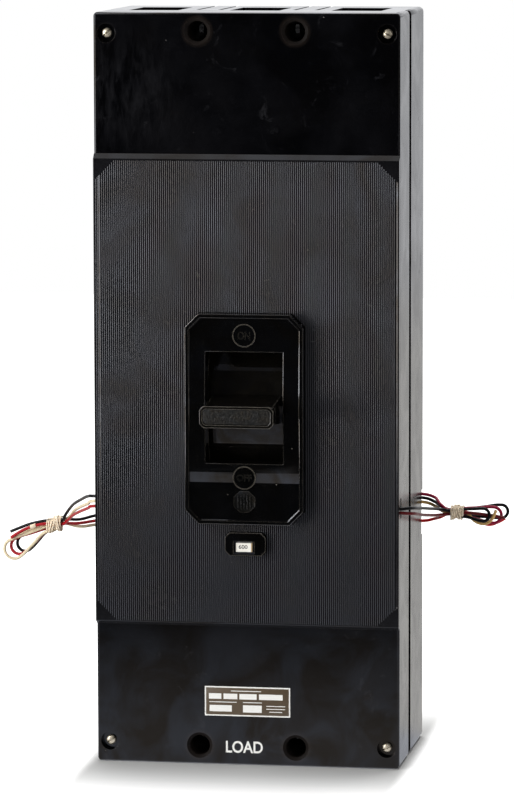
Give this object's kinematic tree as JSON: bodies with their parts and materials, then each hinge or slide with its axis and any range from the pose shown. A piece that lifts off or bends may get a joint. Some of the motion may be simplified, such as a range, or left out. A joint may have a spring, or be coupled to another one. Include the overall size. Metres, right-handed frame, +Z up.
{
  "type": "three-pole moulded-case circuit breaker",
  "caption": "Tall black moulded-case circuit breaker with a reeded front, toggle handle in an octagonal escutcheon, terminal compartments at both ends and tied control leads at the sides.",
  "frame": {"origin": "middle of the load end, the flat face that the breaker stands on", "axes": "+Z up from the load end to the line end, the toggle handle points along -Y, the mounting face looks along +Y"},
  "size_m": [0.3611, 0.1636, 0.5143],
  "materials": {
    "phenolic_case": "polished black phenolic moulding",
    "reeded_front": "black phenolic moulding with fine upright reeds",
    "escutcheon_black": "polished black phenolic",
    "handle_black": "polished black phenolic with a fine grained inset",
    "pivot_steel": "ground steel pin",
    "plated_copper": "tin plated copper bar, dull",
    "screw_metal": "worn nickel plated screw",
    "card_white": "white card",
    "lead_black": "black insulated wire",
    "lead_red": "red insulated wire",
    "lead_cream": "cream insulated wire",
    "tie_string": "wound cotton string"
  },
  "bodies": {
    "case": {"base": "phenolic_case", "cover": "phenolic_case", "front_plate": "reeded_front", "handle_escutcheon": "escutcheon_black", "handle_pivot": "pivot_steel", "rating_bezel": "escutcheon_black", "rating_card": "card_white", "line_screw_left": "screw_metal", "line_screw_right": "screw_metal", "load_screw_left": "screw_metal", "load_screw_right": "screw_metal", "line_strap_left": "plated_copper", "line_strap_centre": "plated_copper", "line_strap_right": "plated_copper", "load_strap_left": "plated_copper", "load_strap_centre": "plated_copper", "load_strap_right": "plated_copper", "left_lead_1": "lead_black", "left_lead_2": "lead_cream", "left_lead_3": "lead_red", "left_lead_4": "lead_black", "left_lead_5": "lead_red", "left_lead_6": "lead_cream", "right_lead_1": "lead_black", "right_lead_2": "lead_red", "right_lead_3": "lead_red", "right_lead_4": "lead_black", "right_lead_5": "lead_cream", "right_lead_6": "lead_red", "left_hank": "lead_cream", "right_hank": "lead_red", "left_tie": "tie_string", "right_tie": "tie_string"},
    "handle": {"operating_handle": "handle_black"}
  },
  "joints": [
    {"name": "handle_swing", "type": "hinge", "parent": "case", "child": "handle", "pos_m": [0, 0.01468, 0.2451], "axis": [-1, 0, 0], "range_deg": [-16, 16]}
  ]
}
